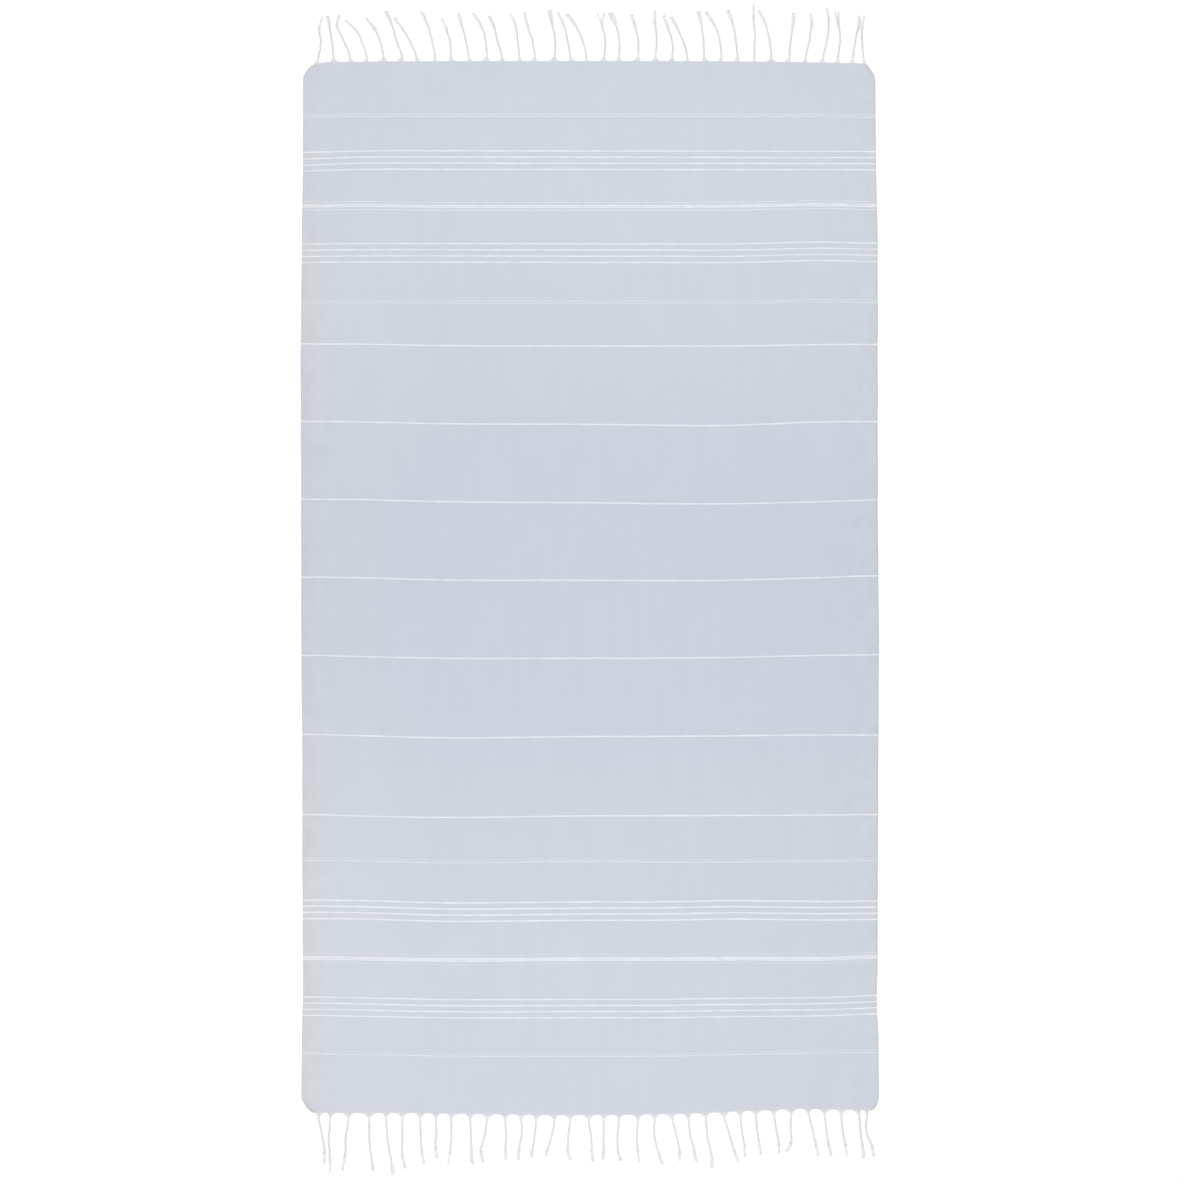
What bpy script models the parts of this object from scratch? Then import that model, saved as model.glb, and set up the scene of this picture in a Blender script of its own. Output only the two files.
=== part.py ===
"""Hammam towel: a flat-woven cotton sheet, laid out flat, with a knotted fringe along both ends.

Metres, +Z up. The towel lies on z = 0. +X runs across the cloth and +Y along it, towards the top
fringe. The origin is the middle of the whole towel, fringes included.
"""

from collections import namedtuple

import bmesh
import bpy

MM = 0.001

# ---- driving dimensions -------------------------------------------------------------------------
SHEET_THICKNESS = 1.2 * MM
SEAM_GAP = 0.3 * MM             # between the cloth's end edge and the strip that carries the strands
STRIP_DEPTH = 2.2 * MM          # how far that strip reaches out from the cloth
ROW_PITCH = 30 * MM             # spacing of the sheet's rows along its length

STRAND_WIDTH = 4.6 * MM
STRAND_HEIGHT = 3.4 * MM
KNOT_WIDTH = 6.2 * MM
KNOT_HEIGHT = 4.8 * MM
LOOSE_WIDTH = 5.0 * MM          # the untwisted yarn ends past the knot
LOOSE_HEIGHT = 2.6 * MM

CLOTH_COLOUR = (0.61, 0.65, 0.74, 1.0)
YARN_COLOUR = (0.84, 0.84, 0.85, 1.0)
COTTON_ROUGHNESS = 0.9

OUTWARD = {"top": 1, "bottom": -1}      # the way along Y that leaves the cloth at each end

# ---- outline of the cloth, in millimetres -------------------------------------------------------
# The two selvedges, from the bottom up: how far each lies from the middle line.
Side = namedtuple("Side", "y left right")
SIDES = (
    Side(-880, -500, 501),
    Side(-780, -499, 500),
    Side(-710, -497, 497),
    Side(-640, -497, 499),
    Side(-500, -498, 499),
    Side(-295, -498, 500),
    Side(-85, -500, 501),
    Side(120, -500, 499),
    Side(400, -501, 499),
    Side(605, -499, 499),
    Side(745, -497, 496),
    Side(885, -497, 495),
)
# The two woven end edges, as (x, y) points from left to right. An edge is straight between them,
# and all of its points but the outer two lie between strands.
EDGES = {
    "top": (
        (-481, 912), (-456, 916), (-312, 917.5), (10, 918), (213, 917.5), (360, 916), (466, 914),
        (482, 912),
    ),
    "bottom": (
        (-482, -905.5), (-310, -906), (-162, -908), (-47, -909.5), (67, -909), (157, -907.5),
        (217, -905), (304, -901), (365, -898.5), (421, -900), (490, -901.5),
    ),
}
# How far each rounded corner runs across the end and along the side. Power 2 is a quarter of an
# ellipse, and a lower one is closer to a plain slanting cut.
Corner = namedtuple("Corner", "across along power")
CORNERS = {
    ("top", "left"): Corner(19, 24, 1.4),
    ("top", "right"): Corner(19, 27, 1.45),
    ("bottom", "left"): Corner(18, 26, 1.3),
    ("bottom", "right"): Corner(12, 23, 1.7),
}
CORNER_STEPS = (0.0, 0.06, 0.2, 0.42, 0.7, 1.0)     # rows through a corner, as shares of its length
SELVEDGE_SHARES = (0.0, 0.012, 0.026, 0.045)        # close columns by each side, for its puckers

# ---- puckers along the selvedges, in millimetres ------------------------------------------------
# Each is a low soft ridge that runs in from the edge, slack that the tighter edge yarns leave.
Pucker = namedtuple("Pucker", "y rise length reach")
PUCKERS = {
    "left": (
        Pucker(775, 1.2, 90, 34), Pucker(640, 1.8, 110, 42), Pucker(520, 1.0, 80, 30),
        Pucker(395, 1.6, 100, 40), Pucker(255, 1.2, 90, 34), Pucker(120, 2.0, 120, 44),
        Pucker(-35, 1.2, 90, 30), Pucker(-170, 1.7, 110, 42), Pucker(-330, 1.2, 100, 36),
        Pucker(-470, 1.9, 110, 44), Pucker(-610, 1.2, 90, 32), Pucker(-745, 1.5, 100, 38),
    ),
    "right": (
        Pucker(760, 1.6, 100, 40), Pucker(615, 1.1, 90, 32), Pucker(480, 1.9, 110, 44),
        Pucker(345, 1.2, 90, 34), Pucker(200, 1.7, 110, 40), Pucker(60, 1.1, 90, 30),
        Pucker(-80, 1.8, 110, 42), Pucker(-225, 1.2, 90, 34), Pucker(-380, 1.7, 110, 42),
        Pucker(-530, 1.1, 90, 32), Pucker(-665, 1.8, 110, 40), Pucker(-790, 1.2, 90, 34),
    ),
}

# ---- strands of the fringe, in millimetres ------------------------------------------------------
# One row for each strand, from left to right: where its root stands, how far its bend, its knot and
# its tip each lie to the right of the root, how far the tip reaches out from the cloth, and at what
# share of its length it is knotted.
Strand = namedtuple("Strand", "root bend knot tip reach tied", defaults=(0.74,))
STRANDS = {
    "top": (
        (-471, 5, 2, 8, 80), (-444, -3, -7, -11, 81), (-415, -11, -23, -19, 82),
        (-386, -8, -19, -39, 72), (-357, -6, -16, -31, 75), (-325, -11, -19, -29, 88),
        (-300, -11, -25, -39, 75), (-268, -6, -18, -26, 86, 0.87), (-241, -1, -8, -16, 75),
        (-210, -5, -12, -18, 83), (-178, -3, -11, -25, 84), (-152, -8, -14, -23, 79),
        (-122, -3, -7, -16, 83), (-95, -5, -14, -18, 85), (-61, 1, -5, -9, 89),
        (-34, -5, -12, -22, 85), (-6, -7, -19, -35, 82), (25, 2, -4, -6, 83),
        (51, 0, -6, -16, 85), (84, 0, -6, -12, 81), (114, 2, -1, -1, 88),
        (143, 0, -9, -15, 80), (169, -7, -18, -29, 78), (198, -1, -5, -10, 87),
        (228, -3, -13, -27, 86), (256, -3, -9, -17, 89), (285, 1, -1, -1, 100),
        (315, -4, -11, -23, 90), (346, 2, 6, 8, 86), (374, 7, 10, 9, 86),
        (404, 8, 10, 7, 95), (430, 4, 1, -2, 88), (456, 4, 11, 10, 83, 0.87),
        (475, -3, -3, 1, 83),
    ),
    "bottom": (
        (-470, 6, 10, 10, 91), (-450, -2, 0, -1, 107), (-418, -5, -6, -12, 101),
        (-382, 0, 5, 7, 103, 0.86), (-353, 3, 10, 12, 110, 0.82), (-325, 0, 0, 6, 98),
        (-294, 1, 3, 7, 89), (-267, 1, 0, 3, 81), (-240, 0, -2, -6, 90),
        (-207, 1, 2, 3, 89), (-178, -4, -11, -7, 85), (-147, 2, 1, 1, 81),
        (-119, 1, -4, -5, 81), (-93, -2, -7, -8, 75, 0.86), (-61, -4, -13, -15, 73, 0.84),
        (-34, -3, -4, 1, 80), (-2, 4, 6, 7, 82), (24, 0, 0, -2, 79, 0.82),
        (51, -3, -2, 4, 81, 0.79), (84, -2, -1, 2, 84), (113, -1, 7, 14, 88, 0.79),
        (143, 7, 13, 12, 83, 0.79), (171, 3, 10, 13, 86), (201, 3, 10, 11, 98),
        (233, 9, 17, 25, 89), (261, 3, 7, 8, 81), (288, 2, 6, 9, 78),
        (319, 4, 9, 9, 76, 0.78), (349, -1, 0, -9, 75, 0.77), (379, 7, 13, 18, 84),
        (407, 3, 7, 12, 83), (436, 2, 7, 10, 82), (467, 2, 6, 8, 85),
        (481, -2, 8, 12, 83),
    ),
}
BEND_AT = 0.42                  # the share of its length where a strand's bend lies

# The warp ends that make up a strand are gathered at its root, more widely at the bottom end.
Gather = namedtuple("Gather", "width length")
GATHERS = {"top": Gather(9.5, 7), "bottom": Gather(12.5, 12)}
GATHER_NECK = 0.5               # halfway out, a gather has drawn in to this share of its width

# A strand's cross-sections, at shares of its length: the twisted part's past its gather, and how far
# before and past the middle of its knot the knot starts and ends.
Section = namedtuple("Section", "share width height")
TWISTED_SHARES = (0.30, 0.52)
KNOT_BEFORE = 0.05
KNOT_PAST = 0.06


def between(points, at):
    """Straight interpolation through (place, value) points, flat past the outer two."""
    if at <= points[0][0]:
        return points[0][1]
    for (low, start), (high, end) in zip(points, points[1:]):
        if at <= high:
            return start + (end - start) * (at - low) / (high - low)
    return points[-1][1]


def smooth_through(points, at):
    """Smooth curve through (place, value) points that leaves the first of them level."""
    slopes = [0.0]
    for before, after in zip(points, points[2:]):
        slopes.append((after[1] - before[1]) / (after[0] - before[0]))
    slopes.append((points[-1][1] - points[-2][1]) / (points[-1][0] - points[-2][0]))
    last = len(points) - 2
    for k, ((low, start), (high, end)) in enumerate(zip(points, points[1:])):
        if at <= high or k == last:
            span = high - low
            t = (at - low) / span
            level = start * (1 + 2 * t) * (1 - t) ** 2 + end * t * t * (3 - 2 * t)
            return level + span * (slopes[k] * t * (1 - t) ** 2 - slopes[k + 1] * t * t * (1 - t))


def ridge(distance, half_width):
    """A soft hump: 1 at its crest, and level where it ends."""
    t = min(1.0, abs(distance) / half_width)
    return (1.0 - t * t) ** 2


def edge_y(end, x):
    """The woven end edge's y at x."""
    return between(EDGES[end], x / MM) * MM


def side_x(side, y):
    """The selvedge's x at y."""
    return between([(row.y, getattr(row, side)) for row in SIDES], y / MM) * MM


def corner_inset(end, side, depth):
    """How far a corner has drawn in from its side, at a depth in from the end edge."""
    corner = CORNERS[end, side]
    left = max(0.0, 1.0 - depth / (corner.along * MM))
    return corner.across * MM * (1.0 - (1.0 - left ** corner.power) ** (1.0 / corner.power))


def pucker_height(side, inward, y):
    """Rise of the cloth at a distance in from a selvedge."""
    return max(
        pucker.rise * MM * ridge(y - pucker.y * MM, pucker.length * MM / 2)
        * ridge(inward, pucker.reach * MM)
        for pucker in PUCKERS[side]
    )


MIDDLE_LENGTH = edge_y("top", 0.0) - edge_y("bottom", 0.0)


def row_shares():
    """Rows of the sheet from its bottom edge (0) to its top edge (1), closer in the corners."""
    along = {
        end: max(CORNERS[end, side].along for side in ("left", "right")) * MM / MIDDLE_LENGTH
        for end in EDGES
    }
    shares = {step * along["bottom"] for step in CORNER_STEPS}
    shares |= {1.0 - step * along["top"] for step in CORNER_STEPS}
    straight = 1.0 - along["bottom"] - along["top"]
    count = round(straight * MIDDLE_LENGTH / ROW_PITCH)
    shares.update(along["bottom"] + straight * k / count for k in range(1, count))
    return sorted(shares)


def column_shares():
    """Columns of the sheet from left (0) to right (1), one at each inner point of both end edges."""
    shares = set(SELVEDGE_SHARES) | {1.0 - share for share in SELVEDGE_SHARES}
    for edge in EDGES.values():
        first, last = edge[0][0], edge[-1][0]
        shares.update((x - first) / (last - first) for x, _ in edge[1:-1])
    return sorted(shares)


def sheet_point(across, along):
    """A point of the cloth's underside, from its shares across and along the cloth."""
    row_y = edge_y("bottom", 0.0) + along * MIDDLE_LENGTH
    depths = {"bottom": along * MIDDLE_LENGTH, "top": (1.0 - along) * MIDDLE_LENGTH}
    left = side_x("left", row_y) + max(corner_inset(end, "left", depths[end]) for end in EDGES)
    right = side_x("right", row_y) - max(corner_inset(end, "right", depths[end]) for end in EDGES)
    x = left + across * (right - left)
    low = edge_y("bottom", x)
    y = low + along * (edge_y("top", x) - low)
    return x, y, max(pucker_height("left", x - left, y), pucker_height("right", right - x, y))


def bridge(bm, first, second):
    """The faces between two runs of corresponding vertices."""
    for (a, b), (c, d) in zip(zip(first, first[1:]), zip(second, second[1:])):
        bm.faces.new((a, b, d, c))


def new_object(name, bm, colour):
    """An object from a bmesh, with its own plain cotton material."""
    bmesh.ops.recalc_face_normals(bm, faces=bm.faces)
    mesh = bpy.data.meshes.new(name)
    bm.to_mesh(mesh)
    bm.free()
    material = bpy.data.materials.new(name + "_cotton")
    material.use_nodes = True
    shader = material.node_tree.nodes["Principled BSDF"]
    shader.inputs["Base Color"].default_value = colour
    shader.inputs["Roughness"].default_value = COTTON_ROUGHNESS
    mesh.materials.append(material)
    obj = bpy.data.objects.new(name, mesh)
    bpy.context.scene.collection.objects.link(obj)
    return obj


def make_towel():
    """The cloth: one sheet of even thickness, flat but for the puckers along its selvedges."""
    bm = bmesh.new()
    columns = column_shares()
    under, over = [], []
    for along in row_shares():
        points = [sheet_point(across, along) for across in columns]
        under.append([bm.verts.new(point) for point in points])
        over.append([bm.verts.new((x, y, z + SHEET_THICKNESS)) for x, y, z in points])
    for layer in (under, over):
        for lower, upper in zip(layer, layer[1:]):
            bridge(bm, lower, upper)
    for row in (0, -1):
        bridge(bm, under[row], over[row])
    for column in (0, -1):
        bridge(bm, [row[column] for row in under], [row[column] for row in over])
    return new_object("towel", bm, CLOTH_COLOUR)


def strand_centre(end, strand, share):
    """A strand's centre line in plan, at a share of its length."""
    sideways = smooth_through(
        ((0.0, 0.0), (BEND_AT, strand.bend), (strand.tied, strand.knot), (1.0, strand.tip)), share
    )
    strip_edge = SEAM_GAP + STRIP_DEPTH
    out = strip_edge + share * (strand.reach * MM - strip_edge)
    return (strand.root + sideways) * MM, edge_y(end, strand.root * MM) + OUTWARD[end] * out


def strand_sections(end, strand):
    """All of a strand's cross-sections past its root, the gather's own first."""
    gather = GATHERS[end]
    share = gather.length / strand.reach
    neck = Section(share / 2, gather.width * MM * GATHER_NECK, (SHEET_THICKNESS + STRAND_HEIGHT) / 2)
    twisted = (share,) + TWISTED_SHARES + (strand.tied - KNOT_BEFORE,)
    sections = [neck] + [Section(place, STRAND_WIDTH, STRAND_HEIGHT) for place in twisted]
    sections.append(Section(strand.tied, KNOT_WIDTH, KNOT_HEIGHT))
    loose = (strand.tied + KNOT_PAST, 1.0)
    return sections + [Section(place, LOOSE_WIDTH, LOOSE_HEIGHT) for place in loose]


def add_strand(bm, end, strand, ring):
    """A four-sided strand that grows out of the ring at its root and lies level on z = 0."""
    step = 0.01
    for section in strand_sections(end, strand):
        x, y = strand_centre(end, strand, section.share)
        ahead_x, ahead_y = strand_centre(end, strand, section.share + step)
        behind_x, behind_y = strand_centre(end, strand, section.share - step)
        run_x, run_y = ahead_x - behind_x, ahead_y - behind_y
        scale = OUTWARD[end] * section.width / 2 / (run_x ** 2 + run_y ** 2) ** 0.5
        half_x, half_y = run_y * scale, -run_x * scale
        fresh = [
            bm.verts.new((x + sign * half_x, y + sign * half_y, z))
            for sign, z in ((-1, 0.0), (1, 0.0), (1, section.height), (-1, section.height))
        ]
        bridge(bm, ring + ring[:1], fresh + fresh[:1])
        ring = fresh
    bm.faces.new(ring)


def make_fringe(end):
    """A narrow strip along one end of the cloth, with the strands that grow out of it."""
    bm = bmesh.new()
    half_root = GATHERS[end].width / 2
    waiting = [Strand(*row) for row in STRANDS[end]]
    breaks = {strand.root + sign * half_root for strand in waiting for sign in (-1, 1)}
    breaks |= {x for x, _ in EDGES[end][1:-1]}
    inner, outer = [], []
    for x in sorted(breaks):
        near = edge_y(end, x * MM) + OUTWARD[end] * SEAM_GAP
        far = near + OUTWARD[end] * STRIP_DEPTH
        inner.append([bm.verts.new((x * MM, near, z)) for z in (0.0, SHEET_THICKNESS)])
        outer.append([bm.verts.new((x * MM, far, z)) for z in (0.0, SHEET_THICKNESS)])
    for level in (0, 1):
        bridge(bm, [pair[level] for pair in inner], [pair[level] for pair in outer])
    bridge(bm, [pair[0] for pair in inner], [pair[1] for pair in inner])
    for k in (0, -1):
        bm.faces.new((inner[k][0], inner[k][1], outer[k][1], outer[k][0]))
    for (low, low_top), (high, high_top) in zip(outer, outer[1:]):
        ring = [low, high, high_top, low_top]
        if waiting and low.co.x < waiting[0].root * MM < high.co.x:
            add_strand(bm, end, waiting.pop(0), ring)
        else:
            bm.faces.new(ring)
    return new_object("fringe_" + end, bm, YARN_COLOUR)


def main():
    for obj in list(bpy.data.objects):
        bpy.data.objects.remove(obj, do_unlink=True)
    make_towel()
    for end in EDGES:
        make_fringe(end)


main()
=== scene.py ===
"""Looks of the hammam towel: its cloth, the white wefts woven into it, and its two fringes.

Metres, +Z up, in the frame of the solids: the towel lies on z = 0, +X runs across the cloth and +Y
along it, towards the top fringe. Tables are in millimetres.
"""

import math
import random
from collections import namedtuple

import bmesh
import bpy
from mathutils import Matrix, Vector, noise


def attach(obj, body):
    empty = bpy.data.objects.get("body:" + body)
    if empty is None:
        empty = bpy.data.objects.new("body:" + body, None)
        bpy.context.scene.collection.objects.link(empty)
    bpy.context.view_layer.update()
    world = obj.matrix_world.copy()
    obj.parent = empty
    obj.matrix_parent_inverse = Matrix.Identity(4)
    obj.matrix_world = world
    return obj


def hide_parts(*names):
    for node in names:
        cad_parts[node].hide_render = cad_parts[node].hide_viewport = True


MM = 0.001
UP = Vector((0, 0, 1))


def table(kind, groups):
    """The rows of each group, with their columns named."""
    return {key: [kind(*row) for row in rows] for key, rows in groups.items()}


# ---- picture ----
PICTURE_SPAN = 2046 * MM  # what the square picture shows of the floor
PICTURE_CENTRE = (0.35 * MM, 0.6 * MM)  # the point of the floor in its middle
CAMERA_HEIGHT = 6.0
SENSOR_WIDTH = 36.0
SKY_STRENGTH = 0.80
FLOOR_REACH = 30.0
FLOOR_HEIGHT = -0.3 * MM  # just clear of the yarns that touch it
# The soft lamps beyond the towel's ends, which face its middle.
Lamp = namedtuple("Lamp", "place size power")
LAMPS = {
    "lamp_top": Lamp((0.07, 1.03, 0.80), (2.0, 0.4), 3.45),
    "lamp_bottom": Lamp((-0.07, -1.06, 1.07), (2.0, 0.4), 5.25),
}

# ---- cloth ----
CLOTH_SIZE = (1.00, 1.83)  # what came off the loom
MID_HEIGHT = 0.6 * MM  # the cloth's middle layer, above what it lies on
ROW_PITCH = 7.5 * MM
COLUMN_PITCH = 8.5 * MM
END_ROWS = (0.0, 1.0, 2.5, 4.5, 8, 12, 17, 22, 28)  # rows by each end, as depths in from it
SIDE_COLUMNS = (0.0, 0.7, 1.7, 2.8, 4.5, 8, 12, 17, 23, 30, 38, 46)  # and columns by each side
# Thickness of the cloth at distances in from a selvedge, which is a firm bead, and from an end.
SELVEDGE_THICKNESS = ((0.0, 0.5), (0.7, 0.95), (1.7, 1.0), (2.8, 0.9), (4.5, 0.84))
END_THICKNESS = ((0.0, 0.6), (1.0, 1.0))  # as shares of the thickness there

# The two selvedges, from the bottom up: how far each lies from the middle line.
Side = namedtuple("Side", "y left right")
SIDES = (
    Side(-880, -500, 501), Side(-780, -499, 500), Side(-710, -497, 497), Side(-640, -497, 499),
    Side(-500, -498, 499), Side(-295, -498, 500), Side(-85, -500, 501), Side(120, -500, 499),
    Side(400, -501, 499), Side(605, -499, 499), Side(745, -497, 496), Side(885, -497, 495),
)
# The two woven end edges, as (x, y) points from left to right.
EDGES = {
    "top": (
        (-481, 912), (-456, 916), (-312, 917.5), (10, 918), (213, 917.5), (360, 916), (466, 914),
        (482, 912),
    ),
    "bottom": (
        (-482, -905.5), (-310, -906), (-162, -908), (-47, -909.5), (67, -909), (157, -907.5),
        (217, -905), (304, -901), (365, -898.5), (421, -900), (490, -901.5),
    ),
}
OUTWARD = {"top": 1, "bottom": -1}  # the way along Y that leaves the cloth at each end
# How far each rounded corner runs across the end and along the side. Power 2 is a quarter of an
# ellipse, and a lower one is closer to a plain slanting cut. A crease of painted shade runs round
# it: how much darker it is, how far in from the edge, and its half width.
Corner = namedtuple("Corner", "across along power dark inward reach", defaults=(2.8, 2.0))
CORNERS = {
    ("top", "left"): Corner(19, 24, 1.4, 0.08),
    ("top", "right"): Corner(19, 27, 1.45, 0.10),
    ("bottom", "left"): Corner(18, 26, 1.3, 0.24, 5.5, 2.6),
    ("bottom", "right"): Corner(12, 23, 1.7, 0.06),
}

# ---- relief ----
# Puckers along the selvedges: low soft ridges that run in from the edge.
Pucker = namedtuple("Pucker", "y rise length reach")
PUCKERS = table(Pucker, {
    "left": (
        (775, 1.2, 90, 34), (640, 1.8, 110, 42), (520, 1, 80, 30), (395, 1.6, 100, 40),
        (255, 1.2, 90, 34), (120, 2, 120, 44), (-35, 1.2, 90, 30), (-170, 1.7, 110, 42),
        (-330, 1.2, 100, 36), (-470, 1.9, 110, 44), (-610, 1.2, 90, 32), (-745, 1.5, 100, 38),
    ),
    "right": (
        (760, 1.6, 100, 40), (615, 1.1, 90, 32), (480, 1.9, 110, 44), (345, 1.2, 90, 34),
        (200, 1.7, 110, 40), (60, 1.1, 90, 30), (-80, 1.8, 110, 42), (-225, 1.2, 90, 34),
        (-380, 1.7, 110, 42), (-530, 1.1, 90, 32), (-665, 1.8, 110, 40), (-790, 1.2, 90, 34),
    ),
})
# Small soft folds between the puckers. Each runs roughly along the selvedge: its middle, its length
# and width, how much painted shade it gets in percent, and how far it leans inward for each
# millimetre up. Those with painted shade are troughs, and those with painted light, below zero,
# are low ridges.
Fold = namedtuple("Fold", "y inward length width dark lean", defaults=(0.0,))
FOLDS = table(Fold, {
    "left": (
        (868, 40, 66, 14, 2.5, 0.43), (703, 59, 55, 16, 2, 0.62), (700, 10, 32, 14, 2),
        (629, 17, 34, 20, 3.5), (463, 54, 60, 40, -2), (444, 18, 34, 20, 3.5),
        (360, 15, 100, 9, 3.5, 0.19), (350, 37, 55, 12, -2.5, 0.46), (240, 28, 36, 50, 2),
        (70, 31, 28, 44, 2), (-28, 20, 36, 20, 3.5), (-66, 17, 34, 18, -2),
        (-184, 10, 95, 10, 2.5), (-350, 22, 30, 18, 2), (-429, 11, 36, 16, 3.5),
        (-507, 39, 36, 20, -3), (-519, 62, 34, 20, 2), (-602, 17, 32, 18, 2),
        (-675, 23, 34, 20, 2.5), (-857, 10, 30, 14, 2),
    ),
    "right": (
        (886, 75, 36, 14, 2.5, 0.93), (852, 41, 44, 16, 2), (789, 22, 30, 18, 2),
        (695, 15, 34, 18, 3.5), (641, 20, 34, 20, 3.5), (636, 43, 32, 18, -2),
        (560, 31, 32, 20, 2), (513, 38, 22, 30, 3), (480, 41, 30, 20, -2),
        (345, 29, 75, 12, 3, 0.24), (227, 22, 73, 14, 2), (173, 45, 32, 20, 2),
        (111, 36, 36, 22, 3.5), (40, 29, 32, 20, 2), (-45, 8, 34, 14, -2),
        (-196, 17, 60, 14, 2), (-319, 22, 36, 20, 3.5), (-319, 57, 34, 20, -2),
        (-370, 48, 36, 22, 3.5), (-440, 28, 32, 40, 2), (-524, 38, 32, 20, 2),
        (-678, 29, 36, 22, 3.5), (-847, 32, 36, 22, 3.5),
    ),
})
FOLDS_REACH = 110 * MM  # no fold lies further in than this
FOLD_HEIGHT = 0.16 * MM  # how deep or high a fold is for each percent of its painted shade
CREASE_FADE = 1.6  # how fast a corner's crease fades along the side
WAVER = 0.9 * MM  # how far the wefts stray near a selvedge, up and down
WAVER_LENGTH = 30 * MM
WAVER_REACH = 34 * MM
RIPPLE_RISE = 0.5 * MM  # small ripples between the puckers
RIPPLE_REACH = 26 * MM
RIPPLE_LENGTH = 24 * MM
RIPPLE_ROW = 3.0  # where in the noise the right selvedge's lie, and minus that the left one's
SLACK_RISE = 0.7 * MM  # broad waves of cloth that was smoothed flat by hand
SLACK_SIZE = (170 * MM, 260 * MM)
SLACK_SHIFT = 0.2  # more of the cloth is raised than not
# Each unevenness of the shapes is read from its own slice of one noise.
SLICES = {"ripples": 0, "weft line": 1, "strand": 2, "slack": 5, "waver": 8, "weft width": 9}

# ---- stripes ----
# The white wefts of a stripe: how far each lies from the stripe's middle, and how wide it shows.
Weft = namedtuple("Weft", "offset width")
LAYOUTS = table(Weft, {
    "single": ((0, 2.65),),
    "pair": ((2, 1.05), (-2, 1.05)),
    "faint": ((2, 0.8), (-2, 0.8)),
    "lopsided": ((2, 0.5), (-2, 1.15)),
    "four": ((16, 2.25), (5.3, 2.25), (-5.3, 2.25), (-16, 2.25)),
    "wide four": ((16, 2.75), (5.3, 2.75), (-5.3, 2.75), (-16, 2.75)),
    "bold": ((6.8, 0.9), (1.5, 2.2), (-1.5, 2.2), (-6.8, 0.9)),
    "wide bold": ((7.6, 0.5), (2.35, 1.95), (0, 1.95), (-2.35, 1.95), (-7.6, 0.5)),
})
# Each stripe, from the bottom up. Its wefts aren't quite straight: they lie this much nearer the
# top than on the middle line, at the places across the cloth that BOW_AT gives.
Stripe = namedtuple("Stripe", "y layout bow")
BOW_AT = (-490, -398, -242, 0, 123, 244, 400, 490)
STRIPES = [Stripe(*row) for row in (
    (-806, "lopsided", (4.5, 3.3, 0.7, 0, 0.5, 3.1, 6, 6.9)),
    (-725, "four", (4.3, 2.8, -0.3, 0, 0.2, 1.9, 3.3, 6.5)),
    (-639.2, "wide bold", (2.3, 0.9, -1.4, 0, 0, 1, 0.5, 4)),
    (-556, "wide four", (3.1, 2.4, -1.6, 0, 0.2, 2.4, 0.7, 1.4)),
    (-467.5, "lopsided", (1.5, 0.5, -2.8, 0, -1.7, -1.5, 0, 0.5)),
    (-390.8, "single", (2.3, -0.3, -2.8, 0, 0.3, 0.7, 1.2, 2.3)),
    (-253.4, "single", (3.5, 1.6, -2.3, 0, 0.3, 1.4, 2.8, 2.4)),
    (-117.6, "single", (5, 2.9, -0.3, 0, 0, 1.4, 4.9, 5.9)),
    (17.6, "single", (5.2, 4.3, 0.3, 0, -0.7, 0, 4.5, 7.8)),
    (151.8, "single", (6.1, 5.5, 1.7, 0, -1.4, -1.6, 1.9, 5.4)),
    (287.8, "single", (4.7, 4.3, 1, 0, -1.6, -1.7, 4.2, 4.7)),
    (423.4, "single", (3.6, 3.5, 0.7, 0, 0, 0.2, 2.6, 3.3)),
    (499, "faint", (1.5, 2, 0.6, 0, 0, 0, 2.8, 2.2)),
    (584.6, "four", (-0.5, 0.5, 0.5, 0, 0, -0.2, 3.1, 1.2)),
    (665.6, "bold", (0.5, 1.6, 0, 0, 0.2, 0.5, 3.1, 1)),
    (745.7, "four", (-2.8, 0, 0.3, 0, -0.2, -0.3, -0.6, -0.8)),
    (823.6, "pair", (-1.5, -0.2, -0.2, 0, 0.3, -0.5, -0.7, -1.7)),
)]
WEFT_PROUD = 0.12 * MM  # how far a white weft stands out of either face of the cloth
# Its unevenness: how much, and how far the noise runs on in a metre and to the next weft.
Unevenness = namedtuple("Unevenness", "size along next")
WEFT_WANDER = Unevenness(0.25 * MM, 28, 3.7)  # sideways
WEFT_SLUB = Unevenness(0.42, 48, 5.1)  # and in width, as a share
# A white weft's cross-section, as shares of its width and of its half height.
WEFT_SECTION = (
    (-0.5, 0.0), (-0.44, 0.75), (-0.22, 1.0), (0.22, 1.0), (0.44, 0.75),
    (0.5, 0.0), (0.44, -0.75), (0.22, -1.0), (-0.22, -1.0), (-0.44, -0.75),
)
WEFT_SHOWS = 0.88  # the share of that width that stands clear of the cloth

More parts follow.
